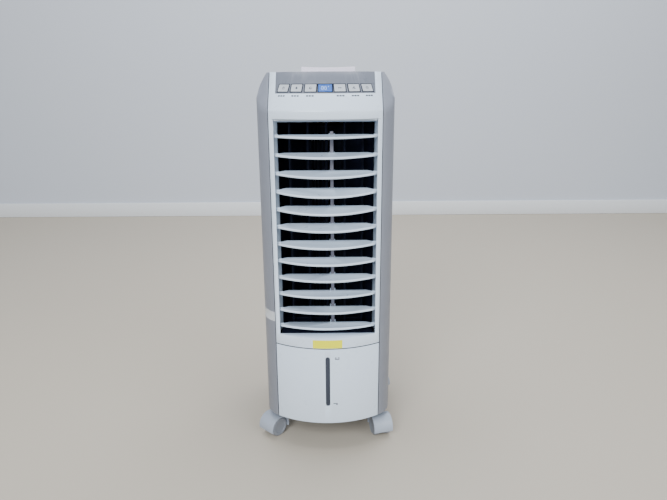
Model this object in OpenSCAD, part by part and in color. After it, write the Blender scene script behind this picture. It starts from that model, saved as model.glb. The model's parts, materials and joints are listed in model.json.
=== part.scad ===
// Tower evaporative air cooler on four twin-wheel casters.
// Millimetres, +Z up, front towards -Y, origin on the floor under the middle of the body.

/* [Body] */
// Width across the side shells
body_w = 288; // [264:1:346]
// Depth from the front bulge to the rear grille
body_d = 340; // [284:1:408]
// Height of the flat top above the floor
body_h = 840; // [700:1:1008]
// Height of the body's underside above the floor
base_z = 70; // [64:1:84]
// Half width of the white front panel
panel_half = 115.5; // [96:0.5:128]
// Radius of the front bulge in plan
front_r = 215; // [180:1:258]
// Radius of the shoulders in front view
shoulder_r = 108; // [90:1:130]
// Radius of the rear corners in plan
rear_r = 30; // [20:1:36]
// Wall of the mouldings
wall = 2.5; // [2:0.1:3]
// Gap between neighbouring covers
seam = 1.5; // [0.8:0.1:2]
// Gap above the water tank's front
tank_gap = 2.4; // [1.5:0.1:3]

/* [Front panel] */
// Height of the water tank's front above the underside
tank_face_h = 184; // [154:1:220]
// Height of the panel between the tank and the louvre opening
sill_h = 24; // [20:1:29]
// Height of the panel's head above the louvre opening
head_h = 91; // [80:1:109]
// Height of the sloping control face
slope_h = 75; // [62:1:80]
// Slope of the control face from the horizontal
slope_deg = 58; // [50:1:68]
// Depth of the sill's white top at the middle
sill_d = 31; // [26:1:37]
// Width of the rim beside the louvre opening
rim_w = 3.5; // [3:0.1:5]
// How far the opening narrows on each side
reveal_in = 10; // [8:1:12]

/* [Controls] */
// Height of the fascia down the slope, measured upright
fascia_h = 42; // [36:1:46]
// Half width of the fascia
fascia_half = 101.5; // [98:0.5:107]
// Thickness of the fascia
fascia_t = 1.6; // [1.2:0.1:2]
// Width of a key
key_w = 22.5; // [18.8:0.1:24]
// Length of a key down the slope
key_l = 16; // [13.4:0.1:19]
// Angle between neighbouring keys round the bulge
key_step = 8.85; // [8.6:0.05:9]
// How far a key is pressed
key_travel = 1; // [0.6:0.1:1.2]

/* [Louvres] */
// Number of horizontal vanes
vane_count = 12; // [8:1:13]
// Depth of a vane at its middle
vane_depth = 44; // [38:1:50]
// How much a vane's front edge bulges
vane_sag = 26; // [20:1:28]
// Thickness of a vane
vane_t = 2.6; // [2:0.1:3.2]
// Length of the crank that turns a vane
vane_crank = 20; // [18:1:22]
// Number of upright swing vanes
swing_count = 5; // [3:1:5]
// Depth of a swing vane
swing_depth = 38; // [30:1:42]

/* [Air path] */
// Diameter of the cross-flow wheel
wheel_fan_d = 100; // [84:1:112]
// Number of blades round the wheel
fan_blades = 28; // [20:1:32]
// Diameter of the wheel's shaft
shaft_d = 8; // [6:0.5:10]
// Thickness of the cooling pad
pad_t = 38; // [30:1:40]

/* [Casters] */
// Diameter of a caster wheel
wheel_d = 46; // [40:1:50]
// Width of one caster wheel
wheel_w = 15.5; // [13:0.5:18]
// Distance from the swivel axis to the axle
trail = 18; // [15:1:21]
// Diameter of a caster stem
stem_d = 10; // [8:0.5:11]
// Distance of a stem from the middle, across
stem_x = 120; // [110:1:124]

/* [Hidden] */
$fn = 96;
eps = 0.01;
big = 1200;

side_names = ["left", "right"];
corner_names = ["front_left", "front_right", "rear_left", "rear_right"];
key_names = ["power", "cool", "sleep", "swing", "speed", "timer"];

function two_digits(n) = n < 10 ? str("0", n) : str(n);
function vane_name(i) = str("vane_", two_digits(i + 1));
function swing_name(i) = str("swing_vane_", i + 1);

// Plan outline: front bulge, side arcs tangent to it, straight sides, round rear corners.
front_y = -body_d / 2;
rear_y = body_d / 2;
arc_y = front_y + front_r;
edge_deg = asin(panel_half / front_r);
function tenth(v) = round(v * 10) / 10;
side_r = tenth((body_w / 2 - panel_half) / (1 - sin(edge_deg)));
side_x = body_w / 2 - side_r;
side_y = tenth(arc_y - (front_r - side_r) * cos(edge_deg)) - 0.4;
function arc_at(x, r = front_r) = arc_y - sqrt(r * r - x * x);

// Front profile: upright face, round ridge, sloping control face.
front_wall = 3;
ridge_round = 8;
ridge_z = body_h - slope_h;
ridge_c = [front_r - ridge_round, ridge_z - ridge_round * tan((90 - slope_deg) / 2)];
function slope_r(z, inset = 0) = front_r - inset / sin(slope_deg) - (z - ridge_z) / tan(slope_deg);
seam_z = base_z + tank_face_h;
sill_z = seam_z + tank_gap + sill_h;
sill_back_y = front_y + sill_d;
head_z = body_h - head_h;
rim_half = panel_half - rim_w;
duct_half = rim_half - reveal_in;
shell_x = panel_half + seam;
rear_half = body_w / 2 - rear_r - 6;
rear_flange_d = 8;

// Horizontal vanes: the pivot line, the pitch and how each blade is set at rest.
vane_setback = 12;
vane_back = 10;
vane_front = vane_depth - vane_back;
vane_y = front_y + vane_setback + vane_front;
vane_half = rim_half - 6.5;
vane_top_gap = 35;
vane_low_gap = 15.5;
vane_pitch = (head_z - sill_z - vane_top_gap - vane_low_gap) / (vane_count - 1);
lip_r = 2.6;
vane_pin_r = 2.2;
vane_pin_l = 6;
pin_clear = 0.08;
steep_vane = 3;
steep_tilt = 17;
first_tilt = 4;
last_tilt = -2;
function vane_z(i) = head_z - vane_top_gap - i * vane_pitch;
function vane_tilt(i) = i < steep_vane
    ? first_tilt + (steep_tilt - first_tilt) * i / steep_vane
    : steep_tilt + (last_tilt - steep_tilt) * (i - steep_vane) / (vane_count - 1 - steep_vane);
throat_y = vane_y + 27;
link_x = 12;
link_w = 7;
link_t = 6;
link_pin_r = 1.6;
link_y = vane_y + vane_crank;

// Air duct, upright swing vanes and the cross-flow wheel.
deck_t = 4;
deck_z = sill_z - deck_t;
duct_gap = 0.6;
duct_y = throat_y + duct_gap;
head_plate_z = head_z - 9;
head_plate_t = 3;
swing_y = link_y + 32;
swing_pitch = 2 * duct_half / (swing_count + 0.2);
swing_t = 1.6;
swing_pin_r = 2;
swing_crank = 15;
swing_pin_l = 3.4;
swing_floor_gap = 9;
function swing_x(i) = (i - (swing_count - 1) / 2) * swing_pitch;
swing_driver = floor(swing_count / 2);
swing_bar_z = sill_z + 2;
swing_bar_t = 4;
fan_r = wheel_fan_d / 2;
fan_y = swing_y + swing_depth / 2 + 18 + fan_r;
fan_z0 = sill_z + 14;
fan_z1 = head_plate_z - 12;
scroll_gap = 6;
motor_r = 40;
motor_h = 36;
pad_y0 = rear_y - 28 - pad_t;
pad_z1 = head_plate_z + 2;
grille_t = 10;
grille_y = rear_y - grille_t;
grille_z0 = deck_z - 12;
grille_z1 = head_plate_z + 10;
filter_t = 5;
filter_y = grille_y - 4;

// Top: cover, ice lid and the tray under it.
lid_half = 67;
lid_y1 = rear_y - 32;
lid_y0 = lid_y1 - 104;
lid_gap = 0.8;
lid_back_gap = 3;
lid_t = 3;
hinge_y = lid_y1 - 5;
hinge_z = body_h - 5.5;
hinge_r = 2;
grip_half = 61;
grip_x = 5;
grip_h = 14;
grip_t = 10;
tray_half = lid_half + 1;
tray_floor_z = head_plate_z + 48;
tray_trough_z = pad_z1 + 4;

// Tank drawer, pump and hose.
tub_half = duct_half + 1;
tub_z0 = base_z + 4.3;
tub_z1 = seam_z - 22;
tub_y1 = rear_y - 72;
tub_front_r = front_r - front_wall - 0.4;
window_w = 11.5;
window_z0 = base_z + 44;
window_z1 = base_z + 166;
pump_x = 60;
pump_y = front_y + 108;
pump_r = 23;
pump_z1 = tub_z0 + 62;
hose_r = 5;
hose_bore_r = 3.6;
hose_bend = 12;
hose_low_z = deck_z - 20;
hose_x = body_w / 2 - 22;
hose_top_z = tray_trough_z + 15;
hose_end_y = pad_y0 + 14;

// Base plate and casters.
plate_z = base_z;
plate_t = 4;
plate_inset = front_wall + 0.6;
flange_d = 50;
flange_z = plate_z + plate_t + 0.6;
stem_front_y = front_y + 85;
stem_rear_y = rear_y - 55;
socket_r = stem_d / 2 + 4;
socket_h = 42;
screw_r = 1.6;
screw_l = 12;
screw_x = (tub_half + 5 + body_w / 2) / 2;
screw_ys = [front_y + 150, rear_y - 110];
axle_z = wheel_d / 2;
web_t = stem_d + 3;
hood_gap = 1.6;
hood_t = 3;
hood_r = wheel_d / 2 + hood_gap + hood_t;
hood_half = web_t / 2 + wheel_w + 1;
axle_r = 2.5;
run_clear = 0.06;
yoke_top = plate_z - 3;
stem_z = wheel_d + 2;
function caster_at(i) = [(i % 2 == 0 ? -1 : 1) * stem_x, i < 2 ? stem_front_y : stem_rear_y];
// How each caster stands turned at rest: the pair across a diagonal stands the same way, mirrored.
function caster_turn(i) = [-42, 15, -15, 42][i];

// ---------- shared outlines ----------

function ray(c, l, a) = [c[0] + l * cos(a), c[1] + l * sin(a)];

// A pie slice of a circle about c, between two angles less than 120 degrees apart.
module slice(c, r, a0, a1) {
    intersection() {
        translate(c) circle(r);
        polygon([c, ray(c, 2.5 * r, a0), ray(c, 2.5 * r, a1)]);
    }
}

// The corner arcs stand 0.4 mm proud of the front bulge where they meet it, so that the two cross cleanly.
module plan(inset = 0) {
    rear_c = [body_w / 2 - rear_r, rear_y - rear_r];
    x = body_w / 2 - inset;
    y = rear_y - inset;
    far = ray([side_x, side_y], 2.5 * side_r, 272 + edge_deg);
    intersection() {
        translate([0, arc_y]) circle(front_r - inset, $fn = 192);
        union() {
            slice([side_x, side_y], side_r - inset, 270 + edge_deg, 360);
            slice([-side_x, side_y], side_r - inset, 180, 270 - edge_deg);
            polygon([[x, side_y], [x, rear_c[1]], rear_c, [rear_c[0], y], [-rear_c[0], y], [-rear_c[0], rear_c[1]],
                     [-x, rear_c[1]], [-x, side_y], [-side_x, side_y], [-far[0], far[1]], far, [side_x, side_y]]);
            slice(rear_c, rear_r - inset, 0, 90);
            slice([-rear_c[0], rear_c[1]], rear_r - inset, 90, 180);
        }
    }
}

// Front view of the body, with its round shoulders cut level at the top.
module elevation(inset = 0, z0 = base_z) {
    c = [body_w / 2 - shoulder_r, ridge_z + 10];
    top = body_h - inset;
    translate([inset - body_w / 2, z0]) square([body_w - 2 * inset, c[1] - z0]);
    intersection() {
        union() {
            slice(c, shoulder_r - inset, 0, 90);
            slice([-c[0], c[1]], shoulder_r - inset, 90, 180);
            translate([-c[0], c[1]]) square([2 * c[0], shoulder_r]);
        }
        translate([-body_w, c[1]]) square([2 * body_w, top - c[1]]);
    }
}

// Turns a profile of radius and height round the front bulge's axis.
module round_bulge(half_angle = 70) {
    translate([0, arc_y, 0]) rotate([0, 0, 270 - half_angle]) rotate_extrude(angle = 2 * half_angle) children();
}

// What stands in front of the sloping face, for cutting.
module slope_cutter(inset = 0) {
    z0 = ridge_z - 12;
    z1 = body_h + 12;
    round_bulge(88) polygon([[slope_r(z0, inset), z0], [front_r + 90, z0], [front_r + 90, z1], [slope_r(z1, inset), z1]]);
}

module body_solid(inset = 0, z0 = base_z) {
    difference() {
        intersection() {
            translate([0, 0, z0]) linear_extrude(body_h - z0) plan(inset);
            translate([0, body_d, 0]) rotate([90, 0, 0]) linear_extrude(2 * body_d) elevation(inset, z0);
        }
        slope_cutter(inset);
    }
}

// Section of the front from the bulge's axis outwards. Only the outer surface has its ridge rounded.
module front_section(inset, z0, z1) {
    corner_z = ridge_z + inset * (1 - 1 / sin(slope_deg)) * tan(slope_deg);
    intersection() {
        if (inset == 0) union() {
            polygon([[40, 0], [front_r, 0], [front_r, ridge_c[1]],
                     ridge_c + ridge_round * [sin(slope_deg), cos(slope_deg)], [slope_r(z1), z1], [40, z1]]);
            translate(ridge_c) circle(ridge_round);
        }
        else polygon([[40, 0], [front_r - inset, 0], [front_r - inset, corner_z], [slope_r(z1, inset), z1], [40, z1]]);
        translate([40, z0]) square([front_r, z1 - z0]);
    }
}

module across(half, y0, y1, z0, z1) {
    translate([-half, y0, z0]) cube([2 * half, y1 - y0, z1 - z0]);
}

module both_sides() {
    children();
    mirror([1, 0, 0]) children();
}

module rod_x(r, x0, x1) {
    translate([x0, 0, 0]) rotate([0, 90, 0]) cylinder(r = r, h = x1 - x0);
}

// Places children on the sloping face: x across, y up the slope, z out of it.
module on_slope(turn, z, inset = 0) {
    translate([0, arc_y, 0]) rotate([0, 0, turn]) translate([0, -slope_r(z, inset), z]) rotate([slope_deg, 0, 0]) children();
}

// ---------- housing ----------

module side_shell(side) {
    color("#9aa0a8") mirror([side < 0 ? 1 : 0, 0, 0]) difference() {
        body_solid(0);
        difference() {
            body_solid(wall, base_z - 1);
            translate([shell_x, front_y, flange_z]) cube([wall, flange_d, body_h - flange_z - 3]);
            translate([rear_half, rear_y - rear_flange_d, flange_z]) cube([wall, rear_flange_d, body_h - flange_z - 3]);
        }
        translate([-big, -big, 0]) cube([big + shell_x, big + rear_y - rear_flange_d, big]);
        translate([-big, 0, 0]) cube([big + rear_half, big, big]);
    }
}

module reveal_side() {
    x1 = rim_half + 2.6;
    translate([0, 0, sill_z - 3]) linear_extrude(head_z - sill_z + 6)
        polygon([[rim_half, arc_at(rim_half)], [duct_half, throat_y], [duct_half + 2.6, throat_y], [x1, arc_at(x1) + 0.5]]);
}

module vane_boss() {
    translate([0, vane_y, 0]) rod_x(4.5, vane_half + 1.4, rim_half + 1.6);
}

// The head reveal drops towards the throat, as the sill's own top stays level.
module head_reveal() {
    z1 = head_plate_z;
    translate([-duct_half - 2.6, 0, 0]) rotate([90, 0, 90]) linear_extrude(2 * duct_half + 5.2)
        polygon([[front_y + 4, head_z], [throat_y, z1], [throat_y, z1 + 3], [front_y + 4, head_z + 3]]);
}

module front_panel() {
    depth = throat_y - front_y;
    color("white") difference() {
        union() {
            intersection() {
                round_bulge() difference() {
                    front_section(0, seam_z + tank_gap, body_h);
                    front_section(front_wall, seam_z, body_h + 1);
                }
                across(panel_half, front_y - 1, arc_y, seam_z, body_h + 1);
            }
            intersection() {
                union() {
                    both_sides() {
                        translate([panel_half - wall - 0.3, front_y, seam_z + tank_gap + 0.3])
                            cube([wall, depth - 6, ridge_z - 12 - seam_z - tank_gap]);
                        reveal_side();
                        for (i = [0 : vane_count - 1]) translate([0, 0, vane_z(i)]) vane_boss();
                    }
                    across(panel_half - 1, front_y, sill_back_y, sill_z - 3, sill_z);
                    head_reveal();
                }
                round_bulge() translate([40, seam_z]) square([front_r - 41, head_h + body_h - seam_z]);
            }
        }
        across(rim_half, front_y - 10, arc_at(rim_half) + eps, sill_z, head_z);
        intersection() {
            round_bulge() difference() {
                front_section(-4, body_h - fascia_h, body_h + 1);
                front_section(fascia_t, body_h - fascia_h, body_h + 1);
            }
            across(fascia_half, front_y - 10, 0, body_h - fascia_h, body_h + 5);
        }
        control_windows(0.5, 6);
        both_sides() for (i = [0 : vane_count - 1])
            translate([0, vane_y, vane_z(i)]) rod_x(vane_pin_r + pin_clear, vane_half, rim_half + 3);
    }
}

module hinge_lug(x) {
    translate([x, hinge_y, 0]) difference() {
        translate([0, -5, body_h - 12]) cube([5, 10, 10]);
        translate([0, 0, hinge_z]) rod_x(hinge_r + pin_clear, -1, 6);
    }
}

module top_cover() {
    x = panel_half - 0.2;
    color("white") union() {
        difference() {
            intersection() {
                union() {
                    across(x, front_y, rear_y - rear_flange_d - 0.5, body_h - lid_t, body_h);
                    across(rear_half - seam, lid_y1, rear_y - wall - 0.5, body_h - lid_t, body_h);
                }
                union() {
                    across(x, arc_y - 30, rear_y, body_h - 10, body_h + 1);
                    translate([0, arc_y, body_h - 10]) cylinder(r = slope_r(body_h, front_wall) - seam / 2, h = 11);
                }
            }
            across(lid_half + lid_gap, lid_y0 - lid_gap, lid_y1 + lid_back_gap, body_h - 9, body_h + 1);
        }
        both_sides() {
            translate([x - wall, arc_y - 60, body_h - 14]) cube([wall, rear_y - rear_flange_d - arc_y + 59, 12]);
            hinge_lug(lid_half + lid_gap);
            translate([tray_half, lid_y0 + 8, body_h - 28]) cube([wall, hinge_y - lid_y0 - 22, 26]);
        }
        across(rear_half - seam, rear_y - 2 * wall, rear_y - wall, grille_z1 + seam, body_h - lid_t + eps);
    }
}

module ice_lid() {
    dish_r = 900;
    color("#f2f2f6") difference() {
        union() {
            across(lid_half, lid_y0, lid_y1, body_h - lid_t, body_h);
            across(lid_half - 8, lid_y0 + 8, hinge_y - 12, body_h - lid_t - 4, body_h - lid_t);
            translate([grip_x, 0, 0]) across(grip_half, lid_y0 + 6, lid_y0 + 6 + grip_t, body_h - 1, body_h + grip_h);
            both_sides() {
                translate([0, hinge_y, hinge_z]) rod_x(hinge_r, lid_half - 6, lid_half + lid_gap + 4.5);
                translate([lid_half - 8, hinge_y - 3, hinge_z - 3]) cube([8 - eps, 6, 6 - eps]);
            }
        }
        across(lid_half - 10, lid_y0 + 10, hinge_y - 14, body_h - lid_t - 5, body_h - lid_t);
        translate([grip_x, 0, body_h + grip_h + dish_r - 2]) rotate([90, 0, 0]) cylinder(r = dish_r, h = big, center = true, $fn = 720);
    }
}

module socket(i) {
    translate([caster_at(i)[0], caster_at(i)[1], plate_z]) cylinder(r = socket_r, h = socket_h);
}

module base() {
    rail_x = tub_half + 2.5;
    color("#6f747b") difference() {
        union() {
            translate([0, 0, plate_z]) linear_extrude(plate_t) plan(plate_inset);
            for (i = [0 : 3]) socket(i);
            for (x = [-1, 1], y = screw_ys) translate([x * screw_x, y, plate_z]) cylinder(r = screw_r + 2.5, h = screw_l + 3);
            both_sides() translate([rail_x, duct_y, plate_z]) cube([wall, rear_y - 10 - duct_y, deck_z - plate_z]);
            across(rail_x + wall, rear_y - 10 - wall, rear_y - 10, plate_z, grille_z0 - seam);
        }
        for (i = [0 : 3]) translate([caster_at(i)[0], caster_at(i)[1], plate_z - 1])
            cylinder(r = stem_d / 2 + run_clear, h = socket_h + 2 - 4);
        for (x = [-1, 1], y = screw_ys) translate([x * screw_x, y, plate_z - 1]) cylinder(r = screw_r + 0.05, h = screw_l + 1.5);
        translate([0, pump_y, hose_low_z]) rod_x(hose_r + 1.5, rail_x - 1, rail_x + wall + 1);
        translate([gland_x, rear_y, gland_z]) rotate([90, 0, 0]) cylinder(r = gland_r, h = 30);
    }
}

// ---------- controls ----------

key_z = body_h - fascia_h + 3.5 + key_l * sin(slope_deg) / 2;
display_w = 27;
key_proud = 1;
key_turns = [-3, -2, -1, 1, 2, 3];

module control_windows(gap, depth) {
    for (k = key_turns) on_slope(k * key_step, key_z)
        cube([key_w + 2 * gap, key_l + 2 * gap, 2 * depth], center = true);
    on_slope(0, key_z) cube([display_w + 2 * gap, key_l + 2 * gap, 2 * depth], center = true);
}

module control_fascia() {
    color("#7f868f") difference() {
        intersection() {
            round_bulge() difference() {
                front_section(0, body_h - fascia_h + 0.3, body_h);
                front_section(fascia_t - 0.05, body_h - fascia_h, body_h + 1);
            }
            across(fascia_half - 0.3, front_y - 1, 0, body_h - fascia_h, body_h);
        }
        control_windows(0.5, 6);
    }
}

module key(i) {
    color("#d5d8dc") on_slope(key_turns[i] * key_step, key_z) {
        translate([-key_w / 2, -key_l / 2, -3.4]) cube([key_w, key_l, 3.4 + key_proud]);
        translate([0, 0, -4.4]) cylinder(r = 2, h = 2);
    }
}

module display_lens() {
    color("#3f68c8") on_slope(0, key_z)
        translate([-display_w / 2, -key_l / 2, -4]) cube([display_w, key_l, 4.3]);
}

module control_board() {
    in0 = 7;
    color("#2f6b46") union() {
        intersection() {
            round_bulge() difference() {
                front_section(in0, body_h - fascia_h, body_h - 8);
                front_section(in0 + 1.2, body_h - fascia_h - 1, body_h - 7);
            }
            across(fascia_half - 4, front_y, 0, 0, body_h);
        }
        for (k = key_turns) on_slope(k * key_step, key_z) translate([0, 0, -in0 - 0.6]) cylinder(r = 3, h = 1.3);
        on_slope(0, key_z) translate([-display_w / 2 + 1, -key_l / 2 + 1, -in0 - 0.6]) cube([display_w - 2, key_l - 2, in0 - 3.9]);
    }
}

// ---------- louvres ----------

// Plan of a blade about its pivot line: bulged front, clipped rear corners.
module vane_plan() {
    r = (vane_half * vane_half + vane_sag * vane_sag) / (2 * vane_sag);
    tip_y = vane_sag - vane_front;
    intersection() {
        translate([0, r - vane_front]) circle(r);
        polygon([[-vane_half, -vane_front - 5], [vane_half, -vane_front - 5], [vane_half, 0],
                 [vane_half - 19, vane_back], [19 - vane_half, vane_back], [-vane_half, 0]]);
    }
}

module vane(i) {
    r = (vane_half * vane_half + vane_sag * vane_sag) / (2 * vane_sag);
    half_angle = asin((vane_half - 2) / r);
    color("#eef0f4") translate([0, vane_y, vane_z(i)]) union() {
        rotate([vane_tilt(i), 0, 0]) {
            translate([0, 0, -vane_t / 2]) linear_extrude(vane_t) vane_plan();
            translate([0, r - vane_front, 0]) rotate([0, 0, 270 - half_angle])
                rotate_extrude(angle = 2 * half_angle) translate([r - 2.4, 0]) circle(r = lip_r, $fn = 32);
            both_sides() rod_x(3.2, vane_half - 7, vane_half);
        }
        both_sides() rod_x(vane_pin_r, vane_half - 3, vane_half + vane_pin_l);
        // The crank stays level, so that every crank lies parallel whatever its blade's set.
        for (s = [-1, 1]) translate([link_x + s * (link_w / 2 + 1.6) - 0.75, 0, 0]) {
            translate([0, 2, -2.5]) cube([1.5, vane_crank - 2, 5]);
            translate([0, vane_crank, 0]) rod_x(3, 0, 1.5);
        }
        translate([link_x, vane_crank, 0]) rod_x(link_pin_r, -link_w / 2 - 2, link_w / 2 + 2);
    }
}

module vane_link_bar() {
    z0 = vane_z(vane_count - 1) - 7;
    z1 = vane_z(0) + 7;
    color("#dfe2e7") difference() {
        translate([link_x - link_w / 2, link_y - link_t / 2, z0]) cube([link_w, link_t, z1 - z0]);
        for (i = [0 : vane_count - 1]) translate([link_x, link_y, vane_z(i)]) rod_x(link_pin_r + pin_clear, -link_w, link_w);
    }
}

module swing_vane(i) {
    z0 = sill_z + swing_floor_gap;
    z1 = head_plate_z - 2;
    drive_l = i == swing_driver ? 16 : 0;
    color("#2b2f35") translate([swing_x(i), swing_y, 0]) union() {
        translate([-swing_t / 2, -swing_depth / 2, z0]) cube([swing_t, swing_depth, z1 - z0]);
        translate([0, 0, z0]) cylinder(r = 3, h = z1 - z0);
        translate([0, 0, deck_z + 0.4 - drive_l]) cylinder(r = swing_pin_r, h = z0 - deck_z + drive_l);
        translate([0, 0, z1 - eps]) cylinder(r = swing_pin_r, h = swing_pin_l + 1);
        translate([-2, 0, z0]) cube([4, swing_crank, 3]);
        translate([0, swing_crank, swing_bar_z + 0.2]) cylinder(r = 1.8, h = z0 - swing_bar_z + 2);
        translate([0, swing_crank, z0]) cylinder(r = 3.5, h = 3);
    }
}

module swing_link_bar() {
    x1 = swing_x(swing_count - 1) + 6;
    color("#3a3f46") difference() {
        translate([-x1, swing_y + swing_crank - 4, swing_bar_z]) cube([2 * x1, 8, swing_bar_t]);
        for (i = [0 : swing_count - 1]) translate([swing_x(i), swing_y + swing_crank, swing_bar_z - 1])
            cylinder(r = 1.8 + pin_clear, h = swing_bar_t + 2);
    }
}

module swing_motor() {
    h = 18;
    color("#c9ccd1") translate([swing_x(swing_driver), swing_y, deck_z - h]) difference() {
        union() {
            cylinder(r = 14, h = h - 0.2);
            translate([-21, -4, h - 1.4]) cube([42, 8, 1.2]);
            translate([-8, 12, 2]) cube([16, 8, 12]);
        }
        translate([0, 0, h - 17]) cylinder(r = swing_pin_r + pin_clear, h = 20);
    }
}

// ---------- air path ----------

// Plan of the duct's walls: parallel cheeks, a scroll behind the wheel and a tongue beside it.
module duct_walls() {
    t = 2;
    scroll_r = duct_half - 24;
    scroll_c = [scroll_r - duct_half, fan_y - 10];
    tongue = [fan_r * 0.72 + scroll_gap, fan_y - fan_r * 0.72 - scroll_gap];
    translate([-duct_half - t, duct_y]) square([t, scroll_c[1] - duct_y]);
    difference() {
        slice(scroll_c, scroll_r + t, 90, 180);
        translate(scroll_c) circle(scroll_r);
    }
    translate([duct_half, duct_y]) square([t, 38]);
    polygon([[duct_half, duct_y + 36], [duct_half + t, duct_y + 38], tongue + [t, t], tongue]);
}

module air_duct() {
    x1 = duct_half + 4;
    y1 = pad_y0 - 4;
    color("#3c4047") difference() {
        union() {
            across(x1 + 2, duct_y, grille_y - 10, deck_z, sill_z);
            across(duct_half - duct_gap, sill_back_y + duct_gap, duct_y + 5, deck_z, sill_z);
            across(x1, duct_y, y1, head_plate_z, head_plate_z + head_plate_t);
            translate([0, 0, sill_z - 1]) linear_extrude(head_plate_z - sill_z + 2) duct_walls();
            translate([0, fan_y, sill_z - 1]) cylinder(r = 16, h = 7);
            translate([0, fan_y, head_plate_z + 1]) difference() {
                cylinder(r = motor_r + 5, h = head_plate_t + 7);
                translate([0, 0, -1]) cylinder(r = motor_r + 2, h = big);
            }
        }
        for (i = [0 : swing_count - 1]) translate([swing_x(i), swing_y, deck_z - 1])
            cylinder(r = swing_pin_r + pin_clear, h = big);
        translate([0, fan_y, deck_z - 1]) cylinder(r = 11, h = 20);
        translate([0, fan_y, head_plate_z - 1]) cylinder(r = 16, h = 20);
    }
}

module blower_wheel() {
    hub_h = 14;
    disc_t = 2.5;
    sections = 4;
    step = (fan_z1 - fan_z0 - disc_t) / sections;
    color("#23262b") translate([0, fan_y, 0]) difference() {
        union() {
            for (z = [fan_z0, fan_z1 - disc_t]) translate([0, 0, z]) cylinder(r = fan_r, h = disc_t);
            translate([0, 0, fan_z0]) cylinder(r = 12, h = hub_h);
            translate([0, 0, fan_z1 - hub_h]) cylinder(r = 12, h = hub_h);
            for (k = [1 : sections - 1]) translate([0, 0, fan_z0 + k * step]) difference() {
                cylinder(r = fan_r, h = disc_t);
                translate([0, 0, -1]) cylinder(r = fan_r - 13, h = disc_t + 2);
            }
            for (a = [0 : 360 / fan_blades : 359]) rotate([0, 0, a])
                translate([fan_r - 6.5, 0, fan_z0 + 1]) rotate([0, 0, 35])
                    translate([-5.5, -0.7, 0]) cube([11, 1.4, fan_z1 - fan_z0 - 2]);
        }
        translate([0, 0, fan_z0 - 1]) cylinder(r = shaft_d / 2 + 0.02, h = fan_z1);
    }
}

module blower_shaft() {
    color("#b8bcc2") translate([0, fan_y, deck_z + 1]) cylinder(r = shaft_d / 2, h = head_plate_z + motor_h - deck_z);
}

module blower_motor() {
    z0 = head_plate_z + head_plate_t;
    color("#8d939b") translate([0, fan_y, z0]) difference() {
        union() {
            cylinder(r = motor_r - 6, h = motor_h);
            cylinder(r = motor_r, h = 14);
            for (a = [45 : 90 : 359]) rotate([0, 0, a]) translate([motor_r - 6, -5, 0]) cube([7.5, 10, 4]);
        }
        translate([0, 0, -1]) cylinder(r = shaft_d / 2 + run_clear, h = motor_h + 2);
        for (a = [0 : 30 : 359]) rotate([0, 0, a]) translate([motor_r - 3, -2, 4]) cube([8, 4, 8]);
    }
}

module lower_bearing() {
    color("#b08d57") translate([0, fan_y, deck_z]) difference() {
        cylinder(r = 10.9, h = 9.5);
        translate([0, 0, -1]) cylinder(r = shaft_d / 2 + run_clear, h = 12);
    }
}

module cooling_pad() {
    pitch = 16;
    color("#8a6a45") difference() {
        across(duct_half - 4, pad_y0, pad_y0 + pad_t, sill_z, pad_z1);
        for (z = [sill_z + pitch : pitch : pad_z1 - 8], s = [0, 1])
            translate([0, pad_y0 + s * pad_t, z]) rotate([45, 0, 0]) cube([big, 4, 4], center = true);
    }
}

module dust_filter() {
    x = rear_half - seam - wall - 0.3;
    z0 = grille_z0 + wall + 0.3;
    z1 = grille_z1 - wall - 0.3;
    color("#4b5058") union() {
        difference() {
            across(x, filter_y, filter_y + filter_t, z0, z1);
            across(x - 7, filter_y - 1, filter_y + filter_t + 1, z0 + 7, z1 - 7);
        }
        across(x - 6, filter_y + 2, filter_y + 3, z0 + 6, z1 - 6);
    }
}

module rear_grille() {
    x = rear_half - seam;
    rim = 11;
    pitch = 14;
    z0 = grille_z0 + rim;
    z1 = grille_z1 - rim;
    count = floor((z1 - z0) / pitch);
    step = (z1 - z0) / count;
    color("#9aa0a8") union() {
        difference() {
            across(x, grille_y, rear_y, grille_z0, grille_z1);
            across(x - rim, grille_y - 1, rear_y + 1, z0, z1);
            across(x - wall, grille_y - 1, rear_y - wall, grille_z0 + wall, grille_z1 - wall);
        }
        for (k = [1 : count - 1]) translate([0, rear_y - 5, z0 + k * step]) rotate([-30, 0, 0])
            cube([2 * (x - rim) + 2, 7, 1.8], center = true);
        for (u = [-1, 0, 1]) translate([u * (x - rim) * 0.5 - 1.2, rear_y - 8, z0 - 2]) cube([2.4, 6, z1 - z0 + 4]);
    }
}

module water_tray() {
    half = tray_half - 0.1;
    y0 = lid_y0 - 2;
    y1 = pad_y0 + pad_t + 4;
    trough_y0 = pad_y0 - 2;
    top = body_h - 14;
    color("#d7dce2") difference() {
        union() {
            across(half, y0, y1, tray_floor_z, top);
            across(duct_half - 2, trough_y0, y1, tray_trough_z, tray_trough_z + 30);
            across(half, trough_y0, y1, tray_trough_z, top);
        }
        across(half - wall, y0 + wall, y1 - wall, tray_floor_z + wall, top + 1);
        across(duct_half - 2 - wall, trough_y0 + wall, y1 - wall, tray_trough_z + wall, tray_trough_z + 31);
        across(half - wall, trough_y0 + wall, y1 - wall, tray_trough_z + wall, top + 1);
        for (k = [-5 : 5]) translate([k * 17, (trough_y0 + y1) / 2, tray_trough_z - 1]) cylinder(r = 2, h = 10, $fn = 24);
        translate([0, hose_end_y, hose_top_z]) rod_x(hose_r + 0.2, duct_half - 6, duct_half);
    }
}

// ---------- water ----------

module tub_plan(inset) {
    x = tub_half - inset;
    intersection() {
        translate([0, arc_y]) circle(tub_front_r - inset, $fn = 180);
        translate([-x, front_y - 1]) square([2 * x, tub_y1 - inset - front_y + 1]);
    }
}

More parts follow.
